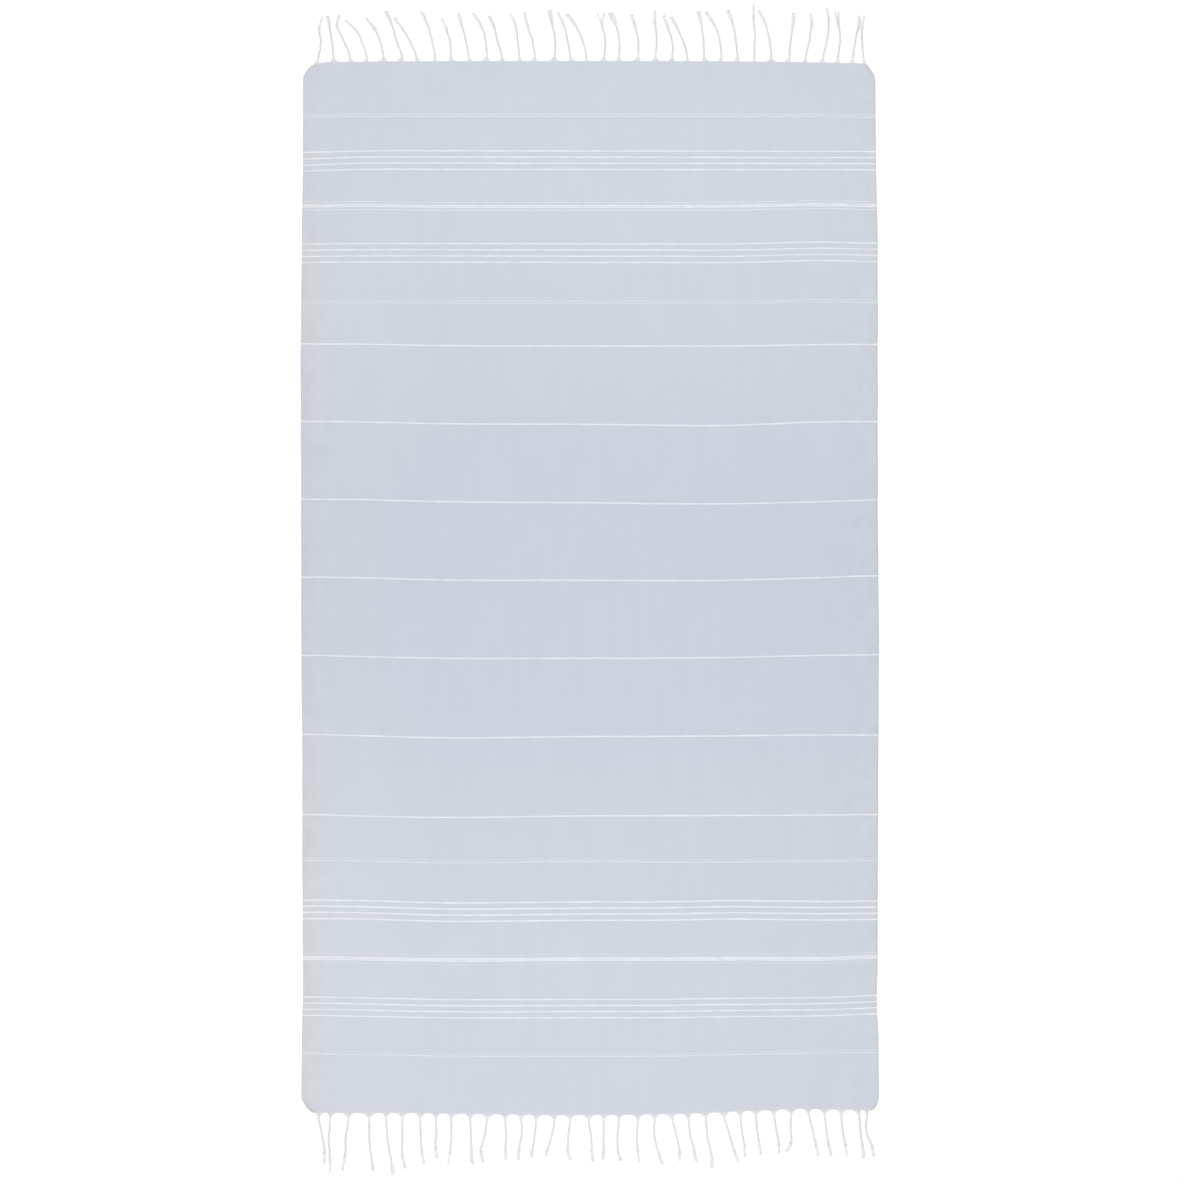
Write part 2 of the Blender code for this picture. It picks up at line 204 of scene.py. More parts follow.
# ---- fringe ----
# One row for each strand, from left to right: where its root stands, how far its bend, its knot and
# its tip each lie to the right of the root, how far the tip reaches out from the cloth, and at what
# share of its length it is knotted.
Strand = namedtuple("Strand", "root bend knot tip reach tied", defaults=(0.74,))
STRANDS = table(Strand, {
    "top": (
        (-471, 5, 2, 8, 80), (-444, -3, -7, -11, 81), (-415, -11, -23, -19, 82),
        (-386, -8, -19, -39, 72), (-357, -6, -16, -31, 75), (-325, -11, -19, -29, 88),
        (-300, -11, -25, -39, 75), (-268, -6, -18, -26, 86, 0.87), (-241, -1, -8, -16, 75),
        (-210, -5, -12, -18, 83), (-178, -3, -11, -25, 84), (-152, -8, -14, -23, 79),
        (-122, -3, -7, -16, 83), (-95, -5, -14, -18, 85), (-61, 1, -5, -9, 89),
        (-34, -5, -12, -22, 85), (-6, -7, -19, -35, 82), (25, 2, -4, -6, 83),
        (51, 0, -6, -16, 85), (84, 0, -6, -12, 81), (114, 2, -1, -1, 88),
        (143, 0, -9, -15, 80), (169, -7, -18, -29, 78), (198, -1, -5, -10, 87),
        (228, -3, -13, -27, 86), (256, -3, -9, -17, 89), (285, 1, -1, -1, 100),
        (315, -4, -11, -23, 90), (346, 2, 6, 8, 86), (374, 7, 10, 9, 86),
        (404, 8, 10, 7, 95), (430, 4, 1, -2, 88), (456, 4, 11, 10, 83, 0.87),
        (475, -3, -3, 1, 83),
    ),
    "bottom": (
        (-470, 6, 10, 10, 91), (-450, -2, 0, -1, 107), (-418, -5, -6, -12, 101),
        (-382, 0, 5, 7, 103, 0.86), (-353, 3, 10, 12, 110, 0.82), (-325, 0, 0, 6, 98),
        (-294, 1, 3, 7, 89), (-267, 1, 0, 3, 81), (-240, 0, -2, -6, 90),
        (-207, 1, 2, 3, 89), (-178, -4, -11, -7, 85), (-147, 2, 1, 1, 81),
        (-119, 1, -4, -5, 81), (-93, -2, -7, -8, 75, 0.86), (-61, -4, -13, -15, 73, 0.84),
        (-34, -3, -4, 1, 80), (-2, 4, 6, 7, 82), (24, 0, 0, -2, 79, 0.82),
        (51, -3, -2, 4, 81, 0.79), (84, -2, -1, 2, 84), (113, -1, 7, 14, 88, 0.79),
        (143, 7, 13, 12, 83, 0.79), (171, 3, 10, 13, 86), (201, 3, 10, 11, 98),
        (233, 9, 17, 25, 89), (261, 3, 7, 8, 81), (288, 2, 6, 9, 78),
        (319, 4, 9, 9, 76, 0.78), (349, -1, 0, -9, 75, 0.77), (379, 7, 13, 18, 84),
        (407, 3, 7, 12, 83), (436, 2, 7, 10, 82), (467, 2, 6, 8, 85),
        (481, -2, 8, 12, 83),
    ),
})
STRIP_EDGE = 2.5 * MM  # where a strand's length starts, out from the cloth
BEND_AT = 0.42  # the share of its length where its bend lies

# The warp ends of a strand fan out at its root: over which share of the way to its neighbours, how
# uneven that is, how far out they have drawn together, whether they leave a round arch between two
# strands or draw in straight, and how matted they are by the cloth.
Gather = namedtuple("Gather", "share uneven length round matted")
GATHERS = {
    "top": Gather(0.42, 0.26, 7.5, False, 0.35),
    "bottom": Gather(1.0, 0.0, 14, True, 1.0),
}
PARTING_WANDER = 3.0  # how far from midway between two strands their warp ends part
OUTER_GATHER = {"top": (9, 10), "bottom": (10, 6)}  # past the first root, and past the last
WARP_END_PITCH = 2.3 * MM
FEWEST_WARP_ENDS = 5
WARP_END_WIDE = 0.75 * MM  # half sizes of a warp end, which the wash has matted flat
WARP_END_HIGH = 0.33 * MM
WARP_END_TUCK = 2.0 * MM  # how far inside the cloth it starts
WARP_END_FLAT = 0.7  # how high it is there, as a share
WARP_END_SIDES = 5
WARP_END_STEPS = 8
WARP_END_POWER = 1.5  # what draws its rings closer together by the cloth
BUNDLE_WIDE = 1.1 * MM  # half sizes of the bundle that they draw together into
BUNDLE_HIGH = 0.4 * MM

# A strand is two plies twisted together, a little flattened where it lies on the floor.
PLY_RADIUS = 1.5 * MM
PLY_OFFSET = 1.4 * MM
PLY_PITCH = 11 * MM
PLY_RINGS = 9  # for each turn
TWIST_SIDES = 7
PLIES_FROM = 0.55  # where they start, as a share of the gather's length
PLIES_THIN = (0.8, 0.6)  # what shares of radius and offset they start with
THIN_RINGS = 6  # and how many rings that takes to pass
LYING_FLAT = 0.68
STRAND_WANDER = 0.9 * MM  # how far it strays from its smooth line
STRAND_WAVES = 6  # and how quickly
KNOT_RADIUS = 2.6 * MM
KNOT_ENDS = 0.7  # how thick it is at either end, as a share
KNOT_YARN = 1.0 * MM
KNOT_YARN_FLAT = 0.85
KNOT_LENGTH = 6.4 * MM
KNOT_TURNS = 2.2
KNOT_RINGS = 12  # for each turn
KNOT_RAMP = 0.1  # the share of a strand over which it rises to its knot
KNOT_SHIFT = 0.5  # how far a knot sits to one side at most
KNOT_LEAN = 0.35  # and how far it leans
KNOT_SHADE = {"top": 0.2, "bottom": 0.5}  # how much painted shade greys it, for the shadow in its tightly wound yarn
TAIL_YARNS = 20  # loose yarn ends past the knot
TAIL_YARN_RADIUS = 0.6 * MM
TAIL_SIDES = 5
TAIL_STEPS = 10
TAIL_NECK = 3.4  # how far they spread at the knot, and the range of it at the tip
TAIL_SPREAD = {"top": (5.8, 7.4), "bottom": (5.2, 6.6)}
SPREAD_BY = 0.5  # and by which share of the way
TAIL_LENGTH = {"top": (0.88, 1.0), "bottom": (0.7, 1.0)}  # the share of the way they reach
TAIL_HEIGHT = (0.1, 1.3)  # how high each lies, as a share of the strand's height
TAIL_DROP = 0.3  # and how much lower at its tip
TAIL_WAVE = 0.3  # how far each waves sideways
TAIL_WAVE_ANGLE = 7  # and through what angle, in radians
TAPER = 0.4  # how much thinner a yarn is at its tip
# The tips that are unlike the rest, by the strand's number: how far they spread, on which sides of
# the knot a short end sticks out, and whether they part into two prongs.
Tip = namedtuple("Tip", "spread spurs forked", defaults=((), False))
TIPS = {
    "top": {
        1: Tip(4.2, (-1,)), 2: Tip(5.8), 3: Tip(4.6), 4: Tip(3.8), 5: Tip(3.8, (-1, 1)),
        6: Tip(6.4), 7: Tip(4.4), 8: Tip(4.2), 9: Tip(4.2), 10: Tip(6.4, (-1,)), 11: Tip(4.4),
        13: Tip(3.8, (1,)), 14: Tip(5), 15: Tip(8), 16: Tip(4.2), 17: Tip(6.4, (1,)),
        18: Tip(12, forked=True), 19: Tip(10), 20: Tip(5.8), 21: Tip(5, (-1, 1)), 22: Tip(5.4),
        24: Tip(7), 27: Tip(2.8), 28: Tip(4.4), 29: Tip(6.4, (1,)), 30: Tip(4.2, (1,)),
        31: Tip(3.6), 32: Tip(6, (-1,), forked=True), 33: Tip(3.2), 34: Tip(3),
    },
    "bottom": {
        1: Tip(4.8, (1,)), 2: Tip(3.2), 3: Tip(4.4, (1,)), 5: Tip(6.6), 6: Tip(5.6, (-1,)),
        7: Tip(4.6), 8: Tip(5.2), 9: Tip(2.6), 10: Tip(6.4), 11: Tip(5.8, (-1,)), 12: Tip(4.6),
        14: Tip(5.4, (1,)), 15: Tip(4.2, (-1,)), 16: Tip(5.4, (1,)), 17: Tip(5),
        18: Tip(5.6, (-1, 1)), 20: Tip(3.4), 21: Tip(5), 22: Tip(4.8, (1,)), 24: Tip(5.8),
        25: Tip(5.4, (1,)), 26: Tip(4.2, (1,)), 27: Tip(4.8), 28: Tip(3.8, (1,)),
        29: Tip(5.2, (1,)), 30: Tip(4.8), 32: Tip(3.6, (-1,)), 33: Tip(5.2, (1,)),
        34: Tip(4.6, (1,)),
    },
}
FORK_AT = 0.1  # the share of the way to the tip where the prongs part
PRONG_RADIUS = 1.2 * MM  # a prong is a ply, of yarns this thick, so far from its middle
PRONG_OFFSET = 1.0 * MM
PRONG_YARNS = 3
PRONG_STEPS = 16
PRONG_START = 1.0  # how far it starts from the strand's middle
PRONG_TURNS = 2.5
SPUR_LENGTH = (3.0, 6.0)
SPUR_BACK = (-0.4, 0.8)  # how far it bends towards the tip, as a share of its length
SPUR_THICK = (1.5, 0.9)  # from the knot to its tip, as shares of a loose yarn's thickness
SPUR_SIDES = 6
SPUR_STEPS = 5

# ---- colours ----
WARP_COLOUR = (0.644, 0.680, 0.748, 1.0)
WEFT_COLOUR = (0.538, 0.587, 0.688, 1.0)
# A yarn's colour, its unevenness, and how much darker it is where a warp end crosses over it.
Yarn = namedtuple("Yarn", "colour unevenness crossed", defaults=(0.0,))
WHITE_WEFT = Yarn((0.803, 0.83, 0.875, 1.0), 0.045, 0.08)
FRINGE_YARN = Yarn((0.865, 0.865, 0.87, 1.0), 0.03)
COTTON = {
    "Roughness": 0.92, "Specular IOR Level": 0.2, "Sheen Weight": 0.12, "Sheen Roughness": 0.5,
}
FLOOR = {
    "Base Color": (0.95, 0.95, 0.95, 1.0), "Roughness": 0.9, "Specular IOR Level": 0.1,
    "Emission Color": (1.0, 1.0, 1.0, 1.0), "Emission Strength": 0.2,
}
WARP_PITCH = 0.8 * MM
WEFT_PITCH = 0.95 * MM
WEAVE_BLEND = 0.3  # how softly the two colours of the weave pass into each other
Bump = namedtuple("Bump", "depth strength")
WEAVE_BUMP = Bump(0.25 * MM, 0.35)
FIBRE_BUMP = Bump(0.2 * MM, 0.5)
FIBRES_PER_METRE = 2200.0

# What the cloth's mesh keeps: distances in from its edges, and its creases' painted shade.
MEASURES = ("from_left", "from_right", "from_end", "painted_crease_shade")
# What multiplies the cloth's colour in some places, each with the two distances between which it
# comes in or fades out.
PAINTED_END_LIGHT = (1.022, 1.014, 0.995, 1.0)  # painted warm light, a little warmer away from the middle
LENGTH_SPAN = (80 * MM, 450 * MM)
LEFT_TINT = (1.024, 1.015, 1.004, 1.0)  # paler towards the left side, but for the top
LEFT_SPAN = (90 * MM, 260 * MM)
LEFT_TOP_SPAN = (550 * MM, 700 * MM)
SIDE_TINT = (0.997, 0.972, 0.95, 1.0)  # greyer by the selvedges
LEFT_SIDE_SPAN = (4 * MM, 32 * MM)
RIGHT_SIDE_SPAN = (1 * MM, 10 * MM)
END_TINT = (1.02, 0.993, 0.965, 1.0)  # and by the ends
END_SPAN = (3 * MM, 12 * MM)
LEFT_BEAD_SHADE = 0.955  # darker with painted shade along the bead of either selvedge
RIGHT_BEAD_SHADE = 0.89
BEAD_SPAN = (0.8 * MM, 2.6 * MM)
LOOSE_END = 1.06  # lighter where the last wefts have worked loose
LOOSE_SPAN = (0.5 * MM, 3.5 * MM)
MATTING_AND_SHADE_TINT = (0.9, 0.935, 0.94, 1.0)  # and yarn is greyer where it is matted in a gather, and with painted shade in a knot

# The cloth's unevenness: how strong it is, and how many features a metre has across and along.
Drift = namedtuple("Drift", "strength across along")
STREAKS = Drift(0.008, 60, 5)
BARS = Drift(0.005, 1.5, 160)
CLOUDS = Drift(0.006, 14, 9)
WRINKLE_SHADE_MOTTLE = Drift(0.022, 48, 40)  # by the selvedges alone: painted shade and light of their small wrinkles, at random
WRINKLE_SHADE_SPAN = (15 * MM, 90 * MM)
YARN_DRIFT = 45
NOISE_DETAIL = 2.0
NOISE_SPAN = (0.25, 0.75)  # nearly all of a noise texture's values lie between these
WARP_CROSSING = (0.3, 0.9)  # where on its wave a warp end starts to cover a white weft


def between(points, at):
    """Straight interpolation through (place, value) points, flat past the outer two."""
    if at <= points[0][0]:
        return points[0][1]
    for (low, start), (high, end) in zip(points, points[1:]):
        if at <= high:
            return blend(start, end, (at - low) / (high - low))
    return points[-1][1]


def smooth_through(points, at):
    """Smooth curve through (place, value) points that leaves the first of them level."""
    slopes = [0.0]
    for before, after in zip(points, points[2:]):
        slopes.append((after[1] - before[1]) / (after[0] - before[0]))
    slopes.append((points[-1][1] - points[-2][1]) / (points[-1][0] - points[-2][0]))
    last = len(points) - 2
    for k, ((low, start), (high, end)) in enumerate(zip(points, points[1:])):
        if at <= high or k == last:
            span = high - low
            t = (at - low) / span
            level = start * (1 + 2 * t) * (1 - t) ** 2 + end * t * t * (3 - 2 * t)
            return level + span * (slopes[k] * t * (1 - t) ** 2 - slopes[k + 1] * t * t * (1 - t))


def blend(start, end, share):
    """What lies at a share of the way from start to end."""
    return start + (end - start) * share


def evenly(count):
    """Evenly spaced shares, from 0 to 1."""
    return [k / count for k in range(count + 1)]


def wobble(kind, first, second):
    """A smooth unevenness from about -1 to 1, over two measures of place."""
    return noise.noise(Vector((first, second, SLICES[kind])))


def ease(t):
    """Smooth step from 0 to 1."""
    t = min(1.0, max(0.0, t))
    return t * t * (3 - 2 * t)


def ridge(distance, half_width):
    """A soft hump: 1 at its crest, and level where it ends."""
    t = min(1.0, abs(distance) / half_width)
    return (1.0 - t * t) ** 2


# ---- shape of the cloth ----
def edge_y(end, x):
    """The woven end edge's y at x."""
    return between(EDGES[end], x / MM) * MM


def side_x(side, y):
    """The selvedge's x at y."""
    return between([(row.y, getattr(row, side)) for row in SIDES], y / MM) * MM


def corner_curve(distance, reach, power):
    """A corner's outline: it goes from 1 to 0 as a distance goes from 0 to its reach."""
    left = max(0.0, 1.0 - distance / reach)
    return 1.0 - (1.0 - left ** power) ** (1.0 / power)


def corner_inset(end, side, depth):
    """How far a corner has drawn in from its side, at a depth in from the end edge."""
    corner = CORNERS[end, side]
    return corner.across * MM * corner_curve(depth, corner.along * MM, corner.power)


def corner_depth(end, x):
    """How far in from the end edge the outline of the corner on x's side lies at x."""
    side = "left" if x < 0 else "right"
    corner = CORNERS[end, side]
    inset = abs(side_x(side, edge_y(end, 0.0)) - x)
    return corner.along * MM * corner_curve(inset, corner.across * MM, corner.power)


def end_depths(place):
    """How far a weft row lies in from each end, by where it crosses the middle line."""
    return {end: abs(edge_y(end, 0.0) - place) for end in EDGES}


def row_ends(place):
    """The x of a weft row's two ends."""
    depths = end_depths(place)
    left = side_x("left", place) + max(corner_inset(end, "left", depths[end]) for end in EDGES)
    right = side_x("right", place) - max(corner_inset(end, "right", depths[end]) for end in EDGES)
    return left, right


def row_shifts():
    """For both ends and each stripe, from the bottom up: its place, and how its wefts bow."""
    def edge_shift(end):
        return lambda x: edge_y(end, x) - edge_y(end, 0.0)

    def stripe_shift(stripe):
        points = list(zip(BOW_AT, stripe.bow))
        return lambda x: smooth_through(points, x / MM) * MM

    shifts = [(edge_y("bottom", 0.0), edge_shift("bottom"))]
    shifts += [(stripe.y * MM, stripe_shift(stripe)) for stripe in STRIPES]
    return shifts + [(edge_y("top", 0.0), edge_shift("top"))]


ROW_SHIFTS = row_shifts()


def waver(place, x):
    """How far a weft row strays up or down near either selvedge, for the puckers there."""
    inward = CLOTH_SIZE[0] / 2 - abs(x)
    near_side = ridge(inward - WAVER_REACH / 2, WAVER_REACH)
    near_end = 1 - ease(min(end_depths(place).values()) / WAVER_REACH)
    astray = wobble("waver", place / WAVER_LENGTH, x / WAVER_LENGTH)
    return WAVER * near_side * (1 - near_end) * astray


def weft_y(place, x):
    """The y at x of the weft row that crosses the middle line at a place."""
    for (low, below), (high, above) in zip(ROW_SHIFTS, ROW_SHIFTS[1:]):
        if place <= high:
            break
    share = ease((place - low) / (high - low))
    return place + blend(below(x), above(x), share) + waver(place, x)


def pucker_height(side, inward, y):
    """Rise of the puckers at a distance in from a selvedge."""
    return max(
        pucker.rise * MM * ridge(y - pucker.y * MM, pucker.length * MM / 2)
        * ridge(inward, pucker.reach * MM)
        for pucker in PUCKERS[side]
    )


def fold_painted_shade(side, inward, y):
    """Painted shade of the small folds by a selvedge, in percent; below zero, painted light."""
    if inward > FOLDS_REACH:
        return 0.0
    total = 0.0
    for fold in FOLDS[side]:
        up = y / MM - fold.y
        across = (inward / MM - fold.inward - fold.lean * up) / math.hypot(1, fold.lean)
        total += fold.dark * ridge(up, fold.length / 2) * ridge(across, fold.width / 2)
    return total


def relief(x, y, left, right):
    """Height of the cloth above the floor."""
    inward = min(x - left, right - x)
    puckers = max(pucker_height("left", x - left, y), pucker_height("right", right - x, y))
    wave = wobble("ripples", math.copysign(RIPPLE_ROW, x), y / RIPPLE_LENGTH)
    ripples = RIPPLE_RISE * max(0.0, wave) * ridge(inward, RIPPLE_REACH)
    slack = wobble("slack", x / SLACK_SIZE[0], y / SLACK_SIZE[1]) + SLACK_SHIFT
    broad = SLACK_RISE * max(0.0, slack) * ease(inward / RIPPLE_REACH)
    folds = fold_painted_shade("left", x - left, y) + fold_painted_shade("right", right - x, y)
    return max(0.0, puckers + ripples + broad - FOLD_HEIGHT * folds)


def thickness(inward, depth):
    """The cloth's thickness at distances in from the selvedge and from the end."""
    return between(SELVEDGE_THICKNESS, inward / MM) * MM * between(END_THICKNESS, depth / MM)


def crease_shade(side, inward, place):
    """Painted shade on the cloth for the creases round a side's two corners and its folds."""
    dark = fold_painted_shade(side, inward, place) / 100
    for end, depth in end_depths(place).items():
        corner = CORNERS[end, side]
        near = ease(CREASE_FADE * (1 - depth / (corner.along * MM)))
        dark += corner.dark * near * ridge(inward - corner.inward * MM, corner.reach * MM)
    return dark


def white_wefts():
    """Every white weft, from the bottom up: where it crosses the middle line, and its width."""
    found = [
        ((stripe.y + weft.offset) * MM, weft.width * MM)
        for stripe in STRIPES
        for weft in LAYOUTS[stripe.layout]
    ]
    return sorted(found)


def fill_in(places, pitch):
    """The places, with more between them wherever they are over a pitch apart."""
    filled = [places[0]]
    for low, high in zip(places, places[1:]):
        count = math.ceil((high - low) / pitch)
        filled += [blend(low, high, k / count) for k in range(1, count + 1)]
    return filled


def row_places():
    """The mesh's weft rows: one at each white weft, closer ones by the ends, and some between."""
    bottom, top = edge_y("bottom", 0.0), edge_y("top", 0.0)
    places = [bottom + depth * MM for depth in END_ROWS]
    places += [top - depth * MM for depth in END_ROWS]
    places += [place for place, width in white_wefts()]
    return fill_in(sorted(places), ROW_PITCH)


def row_columns(place):
    """The x of each column on a weft row, from its left end to its right."""
    left, right = row_ends(place)
    inner = SIDE_COLUMNS[-1] * MM
    count = round((CLOTH_SIZE[0] - 2 * inner) / COLUMN_PITCH)
    columns = [left + inward * MM for inward in SIDE_COLUMNS]
    columns += [blend(left + inner, right - inner, k / count) for k in range(1, count)]
    return columns + [right - inward * MM for inward in reversed(SIDE_COLUMNS)]


def new_object(name, data):
    """An object of the scene."""
    thing = bpy.data.objects.new(name, data)
    bpy.context.scene.collection.objects.link(thing)
    return thing


def new_mesh_object(name, bm, material):
    """An object of the scene, from a bmesh."""
    mesh = bpy.data.meshes.new(name)
    bm.to_mesh(mesh)
    bm.free()
    mesh.materials.append(material)
    return new_object(name, mesh)


def new_piece(name, bm, material, node):
    """A shown object that stands for a solid."""
    bmesh.ops.recalc_face_normals(bm, faces=bm.faces)
    piece = new_mesh_object(name, bm, material)
    piece.data.shade_smooth()
    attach(piece, "root")
    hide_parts(node)
    return piece


def bridge(bm, first, second):
    """Makes the faces between two runs of corresponding vertices."""
    for (a, b), (c, d) in zip(zip(first, first[1:]), zip(second, second[1:])):
        bm.faces.new((a, b, d, c))


def make_cloth(material):
    """The cloth: one closed sheet whose rows follow its wefts."""
    bm = bmesh.new()
    weave = bm.loops.layers.uv.new("weave")
    layers = [bm.verts.layers.float.new(name) for name in MEASURES]
    threads = {}
    under, over = [], []
    for place in row_places():
        left, right = row_ends(place)
        depth = min(end_depths(place).values())
        under.append([])
        over.append([])
        for x in row_columns(place):
            y = weft_y(place, x)
            inward = min(x - left, right - x)
            middle = relief(x, y, left, right) + MID_HEIGHT
            half = thickness(inward, depth) / 2
            # painted shade of the corner creases and the folds here
            painted_crease_shade = crease_shade("left", x - left, place) + crease_shade("right", right - x, place)
            for face, z in ((under, middle - half), (over, middle + half)):
                vertex = bm.verts.new((x, y, z))
                for layer, value in zip(layers, (x - left, right - x, depth, painted_crease_shade)):
                    vertex[layer] = value
                threads[vertex] = (x, place)
                face[-1].append(vertex)
    for face in (under, over):
        for lower, upper in zip(face, face[1:]):
            bridge(bm, lower, upper)
    for row in (0, -1):
        bridge(bm, under[row], over[row])
    for column in (0, -1):
        bridge(bm, [row[column] for row in under], [row[column] for row in over])
    for face in bm.faces:
        for loop in face.loops:
            loop[weave].uv = threads[loop.vert]
    return new_piece("cloth_sheet", bm, material, "towel")


def weft_unevenness(uneven, kind, x, number):
    """One kind of unevenness of a white weft at x."""
    return uneven.size * wobble(kind, x * uneven.along, number * uneven.next)


def make_white_wefts(material):
    """The thicker white wefts of the stripes, which stand a little out of both faces."""
    bm = bmesh.new()
    for number, (place, width) in enumerate(white_wefts()):
        left, right = row_ends(place)
        depth = min(end_depths(place).values())
        rings = []
        for x in row_columns(place):
            y = weft_y(place, x)
            middle = relief(x, y, left, right) + MID_HEIGHT
            half = thickness(min(x - left, right - x), depth) / 2 + WEFT_PROUD
            wander = weft_unevenness(WEFT_WANDER, "weft line", x, number)
            wide = width / WEFT_SHOWS * (1 + weft_unevenness(WEFT_SLUB, "weft width", x, number))
            reach = math.copysign(WEFT_PROUD, x) if x in (left, right) else 0.0
            rings.append([
                bm.verts.new((x + reach, y + wander + across * wide, middle + high * half))
                for across, high in WEFT_SECTION
            ])
        join_rings(bm, rings)
    return new_piece("white_wefts", bm, material, "towel")


def join_rings(bm, rings):
    """A closed tube through rings of vertices."""
    for first, second in zip(rings, rings[1:]):
        bridge(bm, first + first[:1], second + second[:1])
    bm.faces.new(rings[0])
    bm.faces.new(rings[-1])


# ---- fringe ----
# A ring of a yarn: its centre, the way that is up, its half sizes, and how far it is greyed: by
# matting in a gather, and by painted shade in a knot.
Ring = namedtuple("Ring", "point up wide high matted", defaults=(0.0,))


def add_yarn(bm, rings, sides):
    """A tube along the rings' points, each ring turned across the way that the yarn runs."""
    matted = bm.verts.layers.float["matted"]
    points = [ring.point for ring in rings]
    loops = []
    for before, ring, after in zip(points[:1] + points, rings, points[1:] + points[-1:]):
        run = (after - before).normalized()
        side = run.cross(ring.up).normalized()
        up = side.cross(run)
        wide, high = side * ring.wide, up * ring.high
        loops.append([])
        for turn in (2 * math.pi * k / sides for k in range(sides)):
            vertex = bm.verts.new(ring.point + wide * math.cos(turn) + high * math.sin(turn))
            vertex[matted] = ring.matted
            loops[-1].append(vertex)
    join_rings(bm, loops)


def strand_axis(end, strand, share):
    """A strand's centre line, lying on the floor but for its knot, at a share of its length."""
    sideways = smooth_through(
        ((0.0, 0.0), (BEND_AT, strand.bend), (strand.tied, strand.knot), (1.0, strand.tip)), share
    )
    held = 4 * share * (1 - share)  # it strays most halfway, and not at its ends
    astray = wobble("strand", share * STRAND_WAVES, strand.root) * held
    out = blend(STRIP_EDGE, strand.reach * MM, share)
    lying = (PLY_RADIUS + PLY_OFFSET) * LYING_FLAT
    from_cloth = ease(out / (GATHERS[end].length * MM))
    knot_lift = KNOT_RADIUS * LYING_FLAT + KNOT_YARN - lying
    return Vector((
        (strand.root + sideways) * MM + STRAND_WANDER * astray,
        edge_y(end, strand.root * MM) + OUTWARD[end] * out,
        blend(MID_HEIGHT, lying, from_cloth) + knot_lift * ridge(share - strand.tied, KNOT_RAMP),
    ))


# A point on a strand's centre line, the way it runs there, and the way to its right.
Spot = namedtuple("Spot", "centre run right")


def strand_spot(end, strand, share):
    """The spot at a share of a strand's length."""
    step = 0.01
    behind, centre, ahead = (strand_axis(end, strand, share + k * step) for k in (-1, 0, 1))
    run = (ahead - behind).normalized()
    return Spot(centre, run, run.cross(UP).normalized())


def radial_at(spot, turn):
    """The way out from the centre line at a turn, pressed flat."""
    return spot.right * math.cos(turn) + UP * LYING_FLAT * math.sin(turn)


def share_at(strand, out):
    """The share of a strand's length at a distance out from the cloth."""
    return (out - STRIP_EDGE) / (strand.reach * MM - STRIP_EDGE)


def add_twist(bm, steps, yarns, turns, phase):
    """Yarns twisted together. Each step is a spot, a yarn's radius there and its offset."""
    for yarn in range(yarns):
        rings = []
        for k, (spot, radius, offset) in enumerate(steps):
            turn = phase + 2 * math.pi * (yarn / yarns + turns * k / (len(steps) - 1))
            radial = radial_at(spot, turn)
            point = spot.centre + radial * offset
            point.z = max(point.z, radius * LYING_FLAT)
            rings.append(Ring(point, radial, radius, radius * LYING_FLAT))
        add_yarn(bm, rings, TWIST_SIDES)


def add_plies(bm, end, strand, draw):
    """The two plies of a strand, from its gather to its knot."""
    start = share_at(strand, GATHERS[end].length * MM * PLIES_FROM)
    phase = draw.uniform(0, math.pi)
    turns = (strand.tied - start) * strand.reach * MM / PLY_PITCH
    count = round(turns * PLY_RINGS)
    steps = []
    for k in range(count + 1):
        spot = strand_spot(end, strand, blend(start, strand.tied, k / count))
        radius, offset = (blend(thin, 1.0, ease(k / THIN_RINGS)) for thin in PLIES_THIN)
        steps.append((spot, PLY_RADIUS * radius, PLY_OFFSET * offset))
    add_twist(bm, steps, 2, turns, phase)


def taper(along):
    """A yarn's thickness at a share of its loose length, as a share."""
    return 1 - TAPER * along ** 4


def add_prongs(bm, end, strand, tip, draw):
    """The two plies of a strand where they have parted past its knot, each one yarns twisted."""
    for prong in (-1, 1):
        steps = []
        for along in evenly(PRONG_STEPS):
            spot = strand_spot(end, strand, blend(strand.tied, 1, along))
            parted = ease((along - FORK_AT) / (1 - FORK_AT))
            apart = blend(PRONG_START, tip.spread / 2, parted) * MM
            centre = spot.centre + spot.right * prong * apart
            centre.z = (PRONG_RADIUS + PRONG_OFFSET) * LYING_FLAT
            steps.append((spot._replace(centre=centre), PRONG_RADIUS * taper(along), PRONG_OFFSET))
        add_twist(bm, steps, PRONG_YARNS, PRONG_TURNS, draw.uniform(0, math.pi))


def add_knot(bm, end, strand, draw):
    """The strand's knot: a yarn wound round it, bulging in the middle."""
    spot = strand_spot(end, strand, strand.tied)
    centre = spot.centre + spot.right * draw.uniform(-KNOT_SHIFT, KNOT_SHIFT) * MM
    lean = draw.uniform(-KNOT_LEAN, KNOT_LEAN)
    # the knot is greyed with painted shade for its tightly wound yarn
    high, matted = KNOT_YARN * KNOT_YARN_FLAT, KNOT_SHADE[end]
    rings = []
    for share in evenly(round(KNOT_TURNS * KNOT_RINGS)):
        along = share - 0.5
        turn = 2 * math.pi * KNOT_TURNS * share
        radial = radial_at(spot, turn)
        bulge = KNOT_RADIUS * blend(1, KNOT_ENDS, (2 * along) ** 2)
        slant = lean * math.cos(turn) * KNOT_RADIUS
        point = centre + radial * bulge + spot.run * (along * KNOT_LENGTH + slant)
        rings.append(Ring(point, radial, KNOT_YARN, high, matted))
    add_yarn(bm, rings, TWIST_SIDES)


